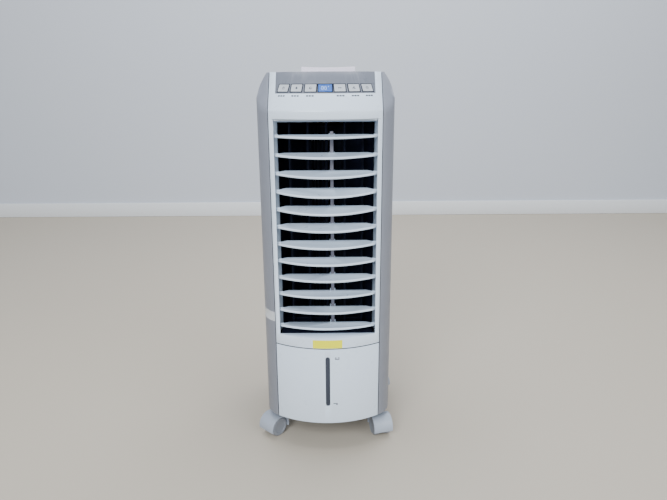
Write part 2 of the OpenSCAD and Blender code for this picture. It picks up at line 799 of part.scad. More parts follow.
module tank_tub() {
    color("#e6ebf0") difference() {
        translate([0, 0, tub_z0]) linear_extrude(tub_z1 - tub_z0) tub_plan(0);
        translate([0, 0, tub_z0 + wall]) linear_extrude(tub_z1) tub_plan(wall);
    }
}

module tank_cover() {
    z1 = seam_z;
    color("white") difference() {
        union() {
            intersection() {
                round_bulge() difference() {
                    translate([40, base_z]) square([front_r - 40, z1 - base_z]);
                    translate([39, base_z - 1]) square([front_r - front_wall - 39, z1 - base_z + 2]);
                }
                across(panel_half, front_y - 1, 0, base_z, z1);
            }
            intersection() {
                round_bulge() translate([front_r - 16, z1 - 14]) square([15, wall]);
                across(panel_half, front_y - 1, 0, base_z, z1);
            }
            both_sides() intersection() {
                translate([panel_half - wall, front_y, flange_z]) cube([wall, flange_d, z1 - flange_z]);
                round_bulge() translate([100, base_z]) square([front_r - 101, z1 - base_z]);
            }
        }
        window_cut(0, 20);
    }
}

module window_cut(gap, depth) {
    across(window_w / 2 - gap, front_y - 1, front_y + depth, window_z0 + gap, window_z1 - gap);
}

module level_window() {
    color("#2a313c") intersection() {
        window_cut(0.15, 20);
        round_bulge() translate([front_r - front_wall, base_z]) square([front_wall - 0.8, tank_face_h]);
    }
}

module pump() {
    color("#3a3f46") translate([pump_x, pump_y, 0]) union() {
        difference() {
            translate([0, 0, tub_z0 + wall + 4]) cylinder(r = pump_r, h = pump_z1 - tub_z0 - wall - 4);
            for (a = [0 : 30 : 359]) rotate([0, 0, a]) translate([pump_r - 3, -1.5, tub_z0 + wall + 8]) cube([6, 3, 14]);
        }
        translate([0, 0, pump_z1 - eps]) cylinder(r = hose_bore_r - 0.1, h = 14);
        for (s = [-1, 1]) translate([0, s * 15, pump_z1 - 4]) cylinder(r = 3, h = deck_z - pump_z1 + 4);
    }
}

// A quarter bend that leaves the origin along +Z and ends running along +X.
module bend(r_tube) {
    translate([hose_bend, 0, 0]) rotate([90, 0, 0]) rotate([0, 0, 90]) rotate_extrude(angle = 90)
        translate([hose_bend, 0]) circle(r_tube, $fn = 48);
}

// The hose's solid line at one radius: pump, across to the side channel, up, back and into the tray.
module hose_line(r, over = 0) {
    z0 = pump_z1 + 2;
    run_x = hose_x - pump_x - 2 * hose_bend;
    rise = hose_top_z - hose_low_z - 2 * hose_bend;
    back = hose_end_y - pump_y - 2 * hose_bend;
    translate([pump_x, pump_y, z0 - over]) cylinder(r = r, h = hose_low_z - hose_bend - z0 + over);
    translate([pump_x, pump_y, hose_low_z - hose_bend]) bend(r);
    translate([pump_x + hose_bend, pump_y, hose_low_z]) rod_x(r, 0, run_x);
    translate([hose_x, pump_y, hose_low_z + hose_bend]) mirror([0, 0, 1]) mirror([1, 0, 0]) bend(r);
    translate([hose_x, pump_y, hose_low_z + hose_bend]) cylinder(r = r, h = rise);
    translate([hose_x, pump_y, hose_top_z - hose_bend]) rotate([0, 0, 90]) bend(r);
    translate([hose_x, pump_y + hose_bend, hose_top_z]) rotate([-90, 0, 0]) cylinder(r = r, h = back);
    translate([hose_x - hose_bend, hose_end_y - hose_bend, hose_top_z])
        rotate_extrude(angle = 90) translate([hose_bend, 0]) circle(r, $fn = 48);
    translate([0, hose_end_y, hose_top_z]) rod_x(r, duct_half - 3 - over, hose_x - hose_bend);
}

module pump_hose() {
    color("#cfd6dc") difference() {
        hose_line(hose_r);
        hose_line(hose_bore_r, 1);
    }
}

// ---------- casters ----------

module caster_place(i) {
    translate([caster_at(i)[0], caster_at(i)[1], 0]) rotate([0, 0, caster_turn(i)]) children();
}

// A caster in its own frame: swivel axis at the origin, wheels trailing towards -Y.
module caster_yoke(i) {
    color("#a3a8b0") caster_place(i) difference() {
        union() {
            intersection() {
                translate([0, -trail, axle_z]) rod_x(hood_r, -hood_half, hood_half);
                union() {
                    translate([-hood_half, -trail - hood_r, axle_z - 6]) cube([2 * hood_half, 2 * hood_r, hood_r + 10]);
                    translate([-web_t / 2, -trail - 9, axle_z - 9]) cube([web_t, 30, 20]);
                }
            }
            translate([0, 0, axle_z - 4]) cylinder(r = socket_r, h = yoke_top - axle_z + 4);
        }
        for (s = [-1, 1]) translate([0, -trail, axle_z]) mirror([s < 0 ? 1 : 0, 0, 0])
            rod_x(wheel_d / 2 + hood_gap, web_t / 2, hood_half + 1);
        translate([0, -trail, axle_z]) rod_x(axle_r + run_clear, -web_t, web_t);
        translate([0, 0, stem_z - 1]) cylinder(r = stem_d / 2 + run_clear, h = big);
    }
}

module caster_wheels(i) {
    gap = 0.6;
    inner = web_t / 2 + gap;
    color("#8b9098") caster_place(i) translate([0, -trail, axle_z]) union() {
        for (s = [-1, 1]) mirror([s < 0 ? 1 : 0, 0, 0]) difference() {
            rotate([0, 90, 0]) rotate_extrude() polygon([[0, inner], [wheel_d / 2 - 2, inner], [wheel_d / 2, inner + 2],
                [wheel_d / 2, inner + wheel_w - 4], [wheel_d / 2 - 3, inner + wheel_w - 1], [0, inner + wheel_w - 1]]);
            rod_x(wheel_d / 2 - 8, inner + wheel_w - 2.2, inner + wheel_w);
        }
        rod_x(axle_r, -inner - 1, inner + 1);
    }
}

module caster_stems() {
    color("#b8bcc2") for (i = [0 : 3]) translate([caster_at(i)[0], caster_at(i)[1], 0]) union() {
        translate([0, 0, stem_z]) cylinder(r = stem_d / 2, h = plate_z + socket_h - 6 - stem_z);
        translate([0, 0, yoke_top + 0.3]) cylinder(r = socket_r - 1, h = plate_z - yoke_top - 0.3);
    }
}

// ---------- small parts ----------

gland_x = -duct_half + 24;
gland_z = base_z + 34;
gland_r = 8;
gland_bore_r = 3.6;

module cord_gland() {
    y = rear_y - 10;
    color("#30343a") translate([gland_x, y, gland_z]) rotate([-90, 0, 0]) difference() {
        union() {
            translate([0, 0, 0.1]) cylinder(r = gland_r + 3, h = 2.4);
            translate([0, 0, -wall - 5]) cylinder(r = gland_r - 0.1, h = wall + 6);
            translate([0, 0, 2]) cylinder(r1 = gland_r, r2 = gland_bore_r + 1.6, h = 7.5);
        }
        translate([0, 0, -20]) cylinder(r = gland_bore_r, h = 40);
    }
}

module screw() {
    difference() {
        union() {
            cylinder(r = screw_r * 2.2, h = 1.8);
            translate([0, 0, -screw_l]) cylinder(r = screw_r, h = screw_l + 0.5);
        }
        for (a = [0, 90]) rotate([0, 0, a]) translate([0, 0, 1.8]) cube([screw_r * 2.4, 0.8, 1.6], center = true);
    }
}

module housing_screws() {
    color("#9a9da3") {
        for (x = [-1, 1], y = screw_ys) translate([x * screw_x, y, plate_z]) rotate([180, 0, 0]) screw();
    }
}

// ---------- nodes ----------

side_shell(-1);  // side_shell_left
side_shell(1);  // side_shell_right
front_panel();
top_cover();
ice_lid();
base();
air_duct();
control_fascia();
display_lens();
control_board();
for (i = [0 : 5]) key(i);
for (i = [0 : vane_count - 1]) vane(i);
vane_link_bar();
for (i = [0 : swing_count - 1]) swing_vane(i);
swing_link_bar();
swing_motor();
blower_wheel();
blower_shaft();
blower_motor();
lower_bearing();
water_tray();
cooling_pad();
dust_filter();
rear_grille();
tank_tub();
tank_cover();
level_window();
pump();
pump_hose();
for (i = [0 : 3]) caster_yoke(i);
for (i = [0 : 3]) caster_wheels(i);
caster_stems();
housing_screws();
cord_gland();
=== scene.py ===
import json
import math

import bmesh
import bpy
from mathutils import Matrix, Vector


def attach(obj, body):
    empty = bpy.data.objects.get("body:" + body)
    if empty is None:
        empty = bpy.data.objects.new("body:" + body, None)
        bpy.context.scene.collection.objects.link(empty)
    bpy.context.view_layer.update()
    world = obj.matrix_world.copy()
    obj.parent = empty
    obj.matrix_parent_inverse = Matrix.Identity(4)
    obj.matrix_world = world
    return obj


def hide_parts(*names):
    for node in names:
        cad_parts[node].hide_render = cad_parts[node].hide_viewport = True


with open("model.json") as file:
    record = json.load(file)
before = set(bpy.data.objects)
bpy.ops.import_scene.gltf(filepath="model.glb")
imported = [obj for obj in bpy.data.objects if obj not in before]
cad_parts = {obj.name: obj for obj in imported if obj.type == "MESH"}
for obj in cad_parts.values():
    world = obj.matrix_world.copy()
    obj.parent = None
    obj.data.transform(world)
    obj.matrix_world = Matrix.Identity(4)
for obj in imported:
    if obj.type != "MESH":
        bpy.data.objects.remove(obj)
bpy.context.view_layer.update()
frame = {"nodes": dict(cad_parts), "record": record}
NODES = frame["nodes"]
MM = 0.001


# ---------- finishes ----------

NOISE_RANGE = (0.3, 0.7)
GRAIN_DEPTH = 0.06 * MM
STREAK_DEPTH = 0.02 * MM


def new_finish(name, colour, roughness):
    """A plain finish, and what it is built from: its node tree, shader and place on the piece."""
    finish = bpy.data.materials.new(name)
    finish.use_nodes = True
    tree = finish.node_tree
    shader = tree.nodes["Principled BSDF"]
    shader.inputs["Base Color"].default_value = (*colour, 1)
    shader.inputs["Roughness"].default_value = roughness
    place = tree.nodes.new("ShaderNodeTexCoord")
    return finish, tree, shader, place


def noise(tree, place, scale, detail=3.0):
    cloud = tree.nodes.new("ShaderNodeTexNoise")
    cloud.inputs["Scale"].default_value = scale
    cloud.inputs["Detail"].default_value = detail
    tree.links.new(place.outputs["Object"], cloud.inputs["Vector"])
    return cloud


def spread(tree, source, low, high):
    """Turns the usual range of a noise into values from low to high."""
    stretch = tree.nodes.new("ShaderNodeMapRange")
    stretch.inputs["From Min"].default_value, stretch.inputs["From Max"].default_value = NOISE_RANGE
    stretch.inputs["To Min"].default_value = low
    stretch.inputs["To Max"].default_value = high
    tree.links.new(source, stretch.inputs["Value"])
    return stretch.outputs["Result"]


def tint(tree, source, low, high):
    """Turns the usual range of a noise into colours from low to high."""
    ramp = tree.nodes.new("ShaderNodeValToRGB")
    for stop, position, colour in zip(ramp.color_ramp.elements, NOISE_RANGE, (low, high)):
        stop.position = position
        stop.color = (*colour, 1)
    tree.links.new(source, ramp.inputs["Fac"])
    return ramp.outputs["Color"]


def raise_grain(tree, shader, source, strength, depth):
    bump = tree.nodes.new("ShaderNodeBump")
    bump.inputs["Strength"].default_value = strength
    bump.inputs["Distance"].default_value = depth
    tree.links.new(source, bump.inputs["Height"])
    tree.links.new(bump.outputs["Normal"], shader.inputs["Normal"])


def moulded_plastic(name, colour, roughness, vary=0.03, grain=900.0, grain_depth=GRAIN_DEPTH,
                    coat=0.0):
    """Plastic with a faint cloudiness, uneven wear and a fine grain, and a gloss where coated."""
    finish, tree, shader, place = new_finish(name, colour, roughness)
    cloud = noise(tree, place, 9.0)
    low = [c * (1 - vary) for c in colour]
    high = [min(1, c * (1 + vary)) for c in colour]
    tree.links.new(tint(tree, cloud.outputs["Fac"], low, high), shader.inputs["Base Color"])
    wear = noise(tree, place, 40.0, 5.0)
    worn = spread(tree, wear.outputs["Fac"], roughness * 0.88, min(1, roughness * 1.15))
    tree.links.new(worn, shader.inputs["Roughness"])
    fine = noise(tree, place, grain, 2.0)
    raise_grain(tree, shader, fine.outputs["Fac"], 0.35, grain_depth)
    if coat:
        shader.inputs["Coat Weight"].default_value = coat
        shader.inputs["Coat Roughness"].default_value = 0.08
    return finish


def metal(name, colour, roughness):
    """Bare metal with fine streaks along Z."""
    finish, tree, shader, place = new_finish(name, colour, roughness)
    shader.inputs["Metallic"].default_value = 1.0
    stretch = tree.nodes.new("ShaderNodeMapping")
    stretch.inputs["Scale"].default_value = (900, 900, 40)
    tree.links.new(place.outputs["Object"], stretch.inputs["Vector"])
    streaks = tree.nodes.new("ShaderNodeTexNoise")
    streaks.inputs["Scale"].default_value = 1.0
    tree.links.new(stretch.outputs["Vector"], streaks.inputs["Vector"])
    turned = spread(tree, streaks.outputs["Fac"], roughness * 0.7, roughness * 1.3)
    tree.links.new(turned, shader.inputs["Roughness"])
    raise_grain(tree, shader, streaks.outputs["Fac"], 0.2, STREAK_DEPTH)
    return finish


white = moulded_plastic("panel_white", (0.69, 0.79, 0.91), 0.3, 0.015, coat=0.2)
shell_grey = moulded_plastic("shell_grey", (0.225, 0.24, 0.285), 0.42, 0.03)
fascia = moulded_plastic("fascia_gloss", (0.17, 0.185, 0.225), 0.3, 0.02, coat=0.25)
key_grey = moulded_plastic("key_satin", (0.50, 0.53, 0.57), 0.3, 0.02)
screen_blue = moulded_plastic("display_blue", (0.07, 0.17, 0.52), 0.12, 0.02, coat=0.8)
# The ice lid is a pale pinkish white plastic; its colour is greyed below the panel's white as painted
# shade.
lid_white = moulded_plastic("lid_pink_painted_shade", (0.66, 0.60, 0.68), 0.4, 0.02)
# Near-black finishes with almost no specular: the inside parts' own dark plastic, darkened further as
# painted shade for the inside of the body. The duct finish also serves as painted shade in the key
# gaps and the seam.
dark = moulded_plastic("dark_moulding_and_painted_shade", (0.006, 0.008, 0.018), 0.75, 0.1)
duct_and_gap_shade = moulded_plastic("duct_dark", (0.004, 0.006, 0.018), 0.85, 0.1)
for shaded in (dark, duct_and_gap_shade):
    shaded.node_tree.nodes["Principled BSDF"].inputs["Specular IOR Level"].default_value = 0.15
base_grey = moulded_plastic("base_moulding", (0.10, 0.105, 0.115), 0.55, 0.05)
board = moulded_plastic("board_green", (0.02, 0.10, 0.045), 0.4, 0.1)
steel = metal("turned_steel", (0.56, 0.57, 0.58), 0.3)
motor = metal("motor_case", (0.38, 0.39, 0.41), 0.42)
bronze = metal("bearing_bronze", (0.55, 0.36, 0.19), 0.35)
paper = moulded_plastic("wetted_paper", (0.19, 0.105, 0.045), 0.85, 0.15,
                        grain=300.0, grain_depth=0.3 * MM)
mesh_dark = moulded_plastic("filter_mesh", (0.03, 0.032, 0.036), 0.7, 0.1)
tub_plastic = moulded_plastic("tub_natural", (0.66, 0.70, 0.75), 0.4, 0.02)
window_dark = moulded_plastic("window_smoke", (0.02, 0.028, 0.05), 0.12, 0.05, coat=0.5)
hose_clear = moulded_plastic("hose_clear", (0.52, 0.56, 0.60), 0.3, 0.02)
caster_grey = moulded_plastic("caster_moulding", (0.36, 0.40, 0.47), 0.36, 0.03)
wheel_grey = moulded_plastic("wheel_moulding", (0.22, 0.235, 0.27), 0.4, 0.05)
black_rubber = moulded_plastic("gland_rubber", (0.012, 0.012, 0.014), 0.6, 0.1)
# The vane link bar is white like the vanes; this grey is painted shade.
link_bar_painted_shade = moulded_plastic("link_bar_painted_shade", (0.20, 0.19, 0.23), 0.45, 0.04)

FINISHES = {
    "panel_white": white, "shell_grey": shell_grey, "fascia_grey": fascia, "display_blue": screen_blue,
    "key_grey": key_grey, "lid_white": lid_white, "vane_white": white, "dark_plastic": dark,
    "duct_dark": duct_and_gap_shade, "base_grey": base_grey, "board_green": board, "shaft_steel": steel,
    "stem_steel": steel, "screw_steel": steel, "motor_grey": motor, "bearing_bronze": bronze,
    "pad_brown": paper, "filter_mesh": mesh_dark, "tub_natural": tub_plastic,
    "tray_natural": tub_plastic, "window_dark": window_dark, "pump_dark": dark,
    "hose_clear": hose_clear, "caster_grey": caster_grey, "wheel_grey": wheel_grey,
    "gland_black": black_rubber,
}
SLOT_OF = {p["node"]: p["material_slot"] for p in frame["record"]["subparts"]}
BODY_OF = {n: body for body, names in frame["record"]["behaviour"]["bodies"].items()
           for n in names}
for name, node in NODES.items():
    node.data.materials.clear()
    node.data.materials.append(FINISHES[SLOT_OF[name]])


# ---------- bench tools ----------

def only(*pieces):
    """Selects these pieces and nothing else, the first of them active."""
    if bpy.context.mode != "OBJECT":
        bpy.ops.object.mode_set(mode="OBJECT")
    bpy.ops.object.select_all(action="DESELECT")
    for p in pieces:
        p.select_set(True)
    bpy.context.view_layer.objects.active = pieces[0]


def edit(piece):
    """Opens a piece in edit mode, with faces picked and none selected."""
    only(piece)
    bpy.ops.object.mode_set(mode="EDIT")
    bpy.ops.mesh.select_mode(type="FACE")
    bpy.ops.mesh.select_all(action="DESELECT")


def leave():
    bpy.ops.object.mode_set(mode="OBJECT")


def pick_faces(piece, test):
    """Selects, in edit mode, the faces whose middle and normal pass the test."""
    work = bmesh.from_edit_mesh(piece.data)
    for face in work.faces:
        face.select = bool(test(face.calc_center_median(), face.normal))
    work.select_flush(True)
    bmesh.update_edit_mesh(piece.data)


def pick_points(piece, test):
    """Selects, in edit mode, the points whose place passes the test."""
    bpy.ops.mesh.select_mode(type="VERT")
    work = bmesh.from_edit_mesh(piece.data)
    for point in work.verts:
        point.select = bool(test(point.co))
    work.select_flush(True)
    bmesh.update_edit_mesh(piece.data)


def settle(piece):
    """Puts a finished piece's place, turn and scale into its mesh."""
    only(piece)
    bpy.ops.object.transform_apply(location=True, rotation=True, scale=True)


def soften(piece, width, segments=2, limit=35, smooth=38):
    """Rounds the edges sharper than the limit and smooths what is left."""
    only(piece)
    edge = piece.modifiers.new("edge", "BEVEL")
    edge.width = width
    edge.segments = segments
    edge.limit_method = "ANGLE"
    edge.angle_limit = math.radians(limit)
    bpy.ops.object.modifier_apply(modifier=edge.name)
    bpy.ops.object.shade_smooth_by_angle(angle=math.radians(smooth))


def merged_copy(node, name):
    """A new object from a copy of a node's mesh, with its loose triangles joined into whole faces."""
    piece = bpy.data.objects.new(name, NODES[node].data.copy())
    bpy.context.scene.collection.objects.link(piece)
    edit(piece)
    bpy.ops.mesh.select_all(action="SELECT")
    bpy.ops.mesh.remove_doubles(threshold=0.00001)
    bpy.ops.mesh.dissolve_limited(angle_limit=math.radians(0.5))
    leave()
    return piece


def hand_over(piece, body, finish=None):
    """Gives a piece its body, and its finish where the slot's own isn't wanted."""
    if finish:
        piece.data.materials.clear()
        piece.data.materials.append(finish)
    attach(piece, body)


def finished_moulding(node, width, segments=2, limit=35):
    """Stands for a node with the same shape and rounded edges."""
    piece = merged_copy(node, node + "_moulding")
    soften(piece, width, segments, limit)
    hand_over(piece, BODY_OF[node])
    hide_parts(node)
    return piece


def carry(piece, matrix):
    """Turns and moves a piece into place, and settles it there."""
    piece.matrix_world = matrix
    settle(piece)


# ---------- housing ----------

CORNERS = ("front_left", "front_right", "rear_left", "rear_right")
KEYS = ("power", "cool", "sleep", "swing", "speed", "timer")
BULGE_R = 215 * MM
BULGE_Y = 45 * MM
TOP_Z = 840 * MM
RIDGE_Z = 765 * MM
RIDGE_ROLL = 7 * MM


def on_ridge(line):
    """Whether an edge is the soft fold between a shell's upright front and its sloping top."""
    middle = (line.verts[0].co + line.verts[1].co) / 2
    reach = math.hypot(middle.x, middle.y - BULGE_Y)
    return (len(line.link_faces) == 2 and 0.25 < line.calc_face_angle() < 0.8
            and RIDGE_Z - 10 * MM < middle.z < RIDGE_Z + 35 * MM
            and reach > 150 * MM and line.is_convex and middle.y < -50 * MM)


def shell(node):
    """A side shell, with the long edge where its sloping top meets its upright front rolled over."""
    piece = merged_copy(node, node + "_moulding")
    edit(piece)
    bpy.ops.mesh.select_mode(type="EDGE")
    work = bmesh.from_edit_mesh(piece.data)
    for line in work.edges:
        line.select = on_ridge(line)
    bmesh.update_edit_mesh(piece.data)
    bpy.ops.mesh.bevel(offset=RIDGE_ROLL, segments=5, affect="EDGES")
    leave()
    soften(piece, 0.8 * MM)
    hand_over(piece, BODY_OF[node])
    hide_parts(node)


for shell_name in ("side_shell_left", "side_shell_right"):
    shell(shell_name)
panel = finished_moulding("front_panel", 0.6 * MM)
for node, edge_round in (("top_cover", 0.5), ("tank_cover", 0.8), ("rear_grille", 0.5),
                         ("control_fascia", 0.3), ("base", 0.6), ("cord_gland", 0.5)):
    finished_moulding(node, edge_round * MM)

GRIP_ROUND = 2.6 * MM


def lid():
    """The ice lid, with the grip's ends and top more generously rounded than the plate."""
    piece = merged_copy("ice_lid", "ice_lid_moulding")
    edit(piece)
    bpy.ops.mesh.select_mode(type="EDGE")
    work = bmesh.from_edit_mesh(piece.data)
    for line in work.edges:
        a, b = line.verts[0].co, line.verts[1].co
        line.select = (min(a.z, b.z) > TOP_Z + 4 * MM and len(line.link_faces) == 2
                       and line.calc_face_angle() > 0.6)
    bmesh.update_edit_mesh(piece.data)
    bpy.ops.mesh.bevel(offset=GRIP_ROUND, segments=4, affect="EDGES")
    leave()
    soften(piece, 0.4 * MM)
    hand_over(piece, "ice_lid")
    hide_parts("ice_lid")


lid()


FILM = 0.3 * MM


def band_of(node, name, low, high, keep, cuts=(), lift=0.6):
    """A thin film on a node's outer face between two heights; a lift of -1 sets it flush."""
    piece = merged_copy(node, name)
    edit(piece)
    planes = [((0, 0, low), (0, 0, 1), True), ((0, 0, high), (0, 0, 1), False)] + list(cuts)
    for place, normal, lose_inner in planes:
        bpy.ops.mesh.select_all(action="SELECT")
        bpy.ops.mesh.bisect(plane_co=place, plane_no=normal,
                            clear_inner=lose_inner, clear_outer=not lose_inner)
    pick_faces(piece, lambda c, n: not keep(c, n))
    bpy.ops.mesh.delete(type="FACE")
    leave()
    only(piece)
    film = piece.modifiers.new("film", "SOLIDIFY")
    film.thickness = FILM
    film.offset = lift
    bpy.ops.object.modifier_apply(modifier=film.name)
    bpy.ops.object.shade_smooth_by_angle(angle=math.radians(30))
    return piece


TAPE_Z = (308 * MM, 330 * MM)
TAPE_END_Y = -20 * MM
SHELL_INSIDE_X = -120.5 * MM
tape = band_of("side_shell_left", "side_tape", *TAPE_Z,
               lambda c, n: n.x < -0.3 and not (c.x > SHELL_INSIDE_X and n.x < -0.9),
               [((0, TAPE_END_Y, 0), (0, 1, 0), False)])
tape_film = moulded_plastic("clear_tape", (0.58, 0.61, 0.64), 0.22, 0.05, coat=0.4)
hand_over(tape, "housing", tape_film)

STICKER_HALF = 32.5 * MM
STICKER_Z = (256.9 * MM, 276 * MM)
STICKER_BED = 0.2 * MM
SILL_Z = (254.5 * MM, 280.5 * MM)
SILL_BACK_Y = -160 * MM


def on_sill(place, normal):
    return normal.y < -0.9 and place.y < SILL_BACK_Y and SILL_Z[0] < place.z < SILL_Z[1]


def under_sticker(place, normal):
    return (on_sill(place, normal) and abs(place.x) < STICKER_HALF
            and STICKER_Z[0] < place.z < STICKER_Z[1])


def sticker_bed():
    """Sinks the sill's face a hair where the sticker lies, so the sticker stands flush with it."""
    edit(panel)
    planes = [((side * STICKER_HALF, 0, 0), (1, 0, 0)) for side in (-1, 1)]
    planes += [((0, 0, z), (0, 0, 1)) for z in STICKER_Z]
    for place, normal in planes:
        pick_faces(panel, on_sill)
        bpy.ops.mesh.bisect(plane_co=place, plane_no=normal)
    bpy.ops.mesh.select_mode(type="FACE")
    pick_faces(panel, under_sticker)
    bpy.ops.transform.translate(value=(0, STICKER_BED, 0))
    leave()


sticker_bed()
sticker = band_of("front_panel", "sill_sticker", *STICKER_Z,
                  lambda c, n: n.y < -0.9 and c.y < -166 * MM,
                  [((-STICKER_HALF, 0, 0), (1, 0, 0), True),
                   ((STICKER_HALF, 0, 0), (1, 0, 0), False)], -1)
sticker_yellow = moulded_plastic("sticker_yellow", (0.90, 0.86, 0.0), 0.6, 0.02)
hand_over(sticker, "housing", sticker_yellow)

# The dark strip in the seam is painted shade for the deep gap: a band of the tank's front, raised into
# the seam and set back in it.
SEAM_SHADE_Z = (250 * MM, 252.1 * MM)
SEAM_SHADE_SHIFT = (0, 0.7 * MM, 4.25 * MM)
seam_shade_strip = band_of("tank_cover", "painted_seam_shade", *SEAM_SHADE_Z,
                 lambda c, n: n.y < -0.5 and c.y < -130 * MM)
edit(seam_shade_strip)
bpy.ops.mesh.select_all(action="SELECT")
bpy.ops.transform.translate(value=SEAM_SHADE_SHIFT)
leave()
hand_over(seam_shade_strip, "housing", duct_and_gap_shade)


# ---------- controls ----------

SLOPE = math.radians(58)
KEY_STEP = 8.85
KEY_TURNS = (-3, -2, -1, 1, 2, 3)
KEY_L = 16 * MM
KEY_Z = TOP_Z - 42 * MM + 3.5 * MM + KEY_L * math.sin(SLOPE) / 2


def on_slope(turn, down=0.0, out=0.0):
    """The place of a flat piece on the sloping face: x across, y up the slope, z out of it."""
    z = KEY_Z - down * math.sin(SLOPE)
    radius = BULGE_R - (z - RIDGE_Z) / math.tan(SLOPE)
    return (Matrix.Translation((0, BULGE_Y, 0)) @ Matrix.Rotation(math.radians(turn), 4, "Z")
            @ Matrix.Translation((0, -radius, z)) @ Matrix.Rotation(SLOPE, 4, "X")
            @ Matrix.Translation((0, 0, out)))


KEY_W = 22.5 * MM
KEY_PROUD = 1 * MM
KEY_SUNK = 3.4 * MM
KEY_DISH = [(1.2 * MM, 0.35 * MM), (1.8 * MM, 0.25 * MM), (2.4 * MM, 0.1 * MM)]
STUB_R = 2 * MM
STUB_L = 1.2 * MM
STUB_Z = -3.9 * MM


def block(width, length, low, high):
    """A box centred across and along, from a low to a high face."""
    bpy.ops.mesh.primitive_cube_add(size=1, location=(0, 0, (low + high) / 2))
    piece = bpy.context.active_object
    piece.scale = (width, length, high - low)
    settle(piece)
    return piece


def sink_top(piece, high, steps):
    """Insets the top face again and again, pushing it down a little each time."""
    edit(piece)
    pick_faces(piece, lambda c, n: n.z > 0.9 and c.z > high - 0.1 * MM)
    for inset, down in steps:
        bpy.ops.mesh.inset(thickness=inset)
        bpy.ops.transform.translate(value=(0, 0, -down))
    leave()


def key_cap(name, turn):
    """A key with a dished top inside a rounded rim, and the stub under it that presses the board."""
    piece = block(KEY_W, KEY_L, -KEY_SUNK, KEY_PROUD)
    sink_top(piece, KEY_PROUD, KEY_DISH)
    soften(piece, 0.5 * MM, 3, limit=50, smooth=50)
    bpy.ops.mesh.primitive_cylinder_add(vertices=24, radius=STUB_R, depth=STUB_L,
                                        location=(0, 0, STUB_Z))
    stub = bpy.context.active_object
    settle(stub)
    soften(stub, 0.2 * MM)
    cap = join([stub, piece], name + "_key_cap")
    carry(cap, on_slope(turn))
    hand_over(cap, name + "_key", key_grey)
    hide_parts(name + "_key")


def disc(radius, points=28):
    bpy.ops.mesh.primitive_circle_add(vertices=points, radius=radius, fill_type="NGON",
                                      location=(0, 0, 0))
    return bpy.context.active_object


def thicken(piece, height=0.25 * MM):
    """Gives a flat piece its thickness, with its faces outwards."""
    edit(piece)
    bpy.ops.mesh.select_all(action="SELECT")
    bpy.ops.mesh.extrude_region_move(TRANSFORM_OT_translate={"value": (0, 0, height)})
    bpy.ops.mesh.select_all(action="SELECT")
    bpy.ops.mesh.normals_make_consistent(inside=False)
    leave()
    return piece


def ring(radius, line, shift=(0, 0, 0)):
    """A disc with a round hole, which a shift moves off centre."""
    piece = disc(radius)
    edit(piece)
    bpy.ops.mesh.select_all(action="SELECT")
    bpy.ops.mesh.inset(thickness=line)
    bpy.ops.transform.translate(value=shift)
    bpy.ops.mesh.delete(type="FACE")
    leave()
    return thicken(piece)


def bar(length, line, place=(0, 0), angle=0.0):
    """A flat stroke with rounded corners."""
    bpy.ops.mesh.primitive_plane_add(size=1, location=(0, 0, 0))
    piece = bpy.context.active_object
    piece.scale = (length, line, 1)
    settle(piece)
    edit(piece)
    bpy.ops.mesh.select_all(action="SELECT")
    bpy.ops.mesh.bevel(offset=line * 0.45, segments=3, affect="VERTICES")
    leave()
    thicken(piece)
    carry(piece, Matrix.Translation((*place, 0)) @ Matrix.Rotation(math.radians(angle), 4, "Z"))
    return piece


def join(pieces, name):
    only(*pieces)
    bpy.ops.object.join()
    piece = bpy.context.active_object
    piece.name = name
    return piece


def power_sign():
    return [ring(2.7 * MM, 0.7 * MM), bar(2.8 * MM, 0.8 * MM, (0, 2.2 * MM), 90)]


def cool_sign():
    piece = disc(2.1 * MM)
    edit(piece)
    pick_points(piece, lambda p: p.y > 2.09 * MM)
    bpy.ops.transform.translate(value=(0, 2.2 * MM, 0))
    leave()
    return [thicken(piece)]


def sleep_sign():
    return [ring(2.7 * MM, 1.0 * MM, (0.7 * MM, 0.35 * MM, 0))]


def swing_sign():
    arms = [bar(6 * MM, 0.8 * MM)]
    for side in (-1, 1):
        for tilt in (-1, 1):
            arms.append(bar(2.2 * MM, 0.8 * MM, (side * 2.3 * MM, tilt * 0.65 * MM),
                            -side * tilt * 40))
    return arms


def speed_sign():
    blades = [disc(0.9 * MM)]
    thicken(blades[0])
    for k in range(3):
        blade = disc(1.5 * MM)
        edit(blade)
        bpy.ops.mesh.select_all(action="SELECT")
        bpy.ops.transform.resize(value=(0.62, 1, 1))
        bpy.ops.transform.translate(value=(0.45 * MM, 1.9 * MM, 0))
        leave()
        thicken(blade)
        carry(blade, Matrix.Rotation(math.radians(120 * k), 4, "Z"))
        blades.append(blade)
    return blades


def timer_sign():
    return [ring(2.8 * MM, 0.6 * MM), bar(2.0 * MM, 0.6 * MM, (0, 0.9 * MM), 90),
            bar(1.6 * MM, 0.6 * MM, (0.7 * MM, 0), 0)]


SIGNS = (power_sign, cool_sign, sleep_sign, swing_sign, speed_sign, timer_sign)
print_dark = moulded_plastic("printed_sign", (0.03, 0.035, 0.06), 0.5, 0.05)
SIGN_OUT = 0.27 * MM
for key_name, key_turn, make_sign in zip(KEYS, KEY_TURNS, SIGNS):
    key_cap(key_name, key_turn * KEY_STEP)
    sign = join(make_sign(), key_name + "_sign")
    carry(sign, on_slope(key_turn * KEY_STEP, out=SIGN_OUT))
    hand_over(sign, key_name + "_key", print_dark)


# The dark frames round the keys and the display are painted shade for the recessed gaps.
PANE_W = 27 * MM
SHADE_GAP = 1.7 * MM
SHADE_LINE = 1.5 * MM


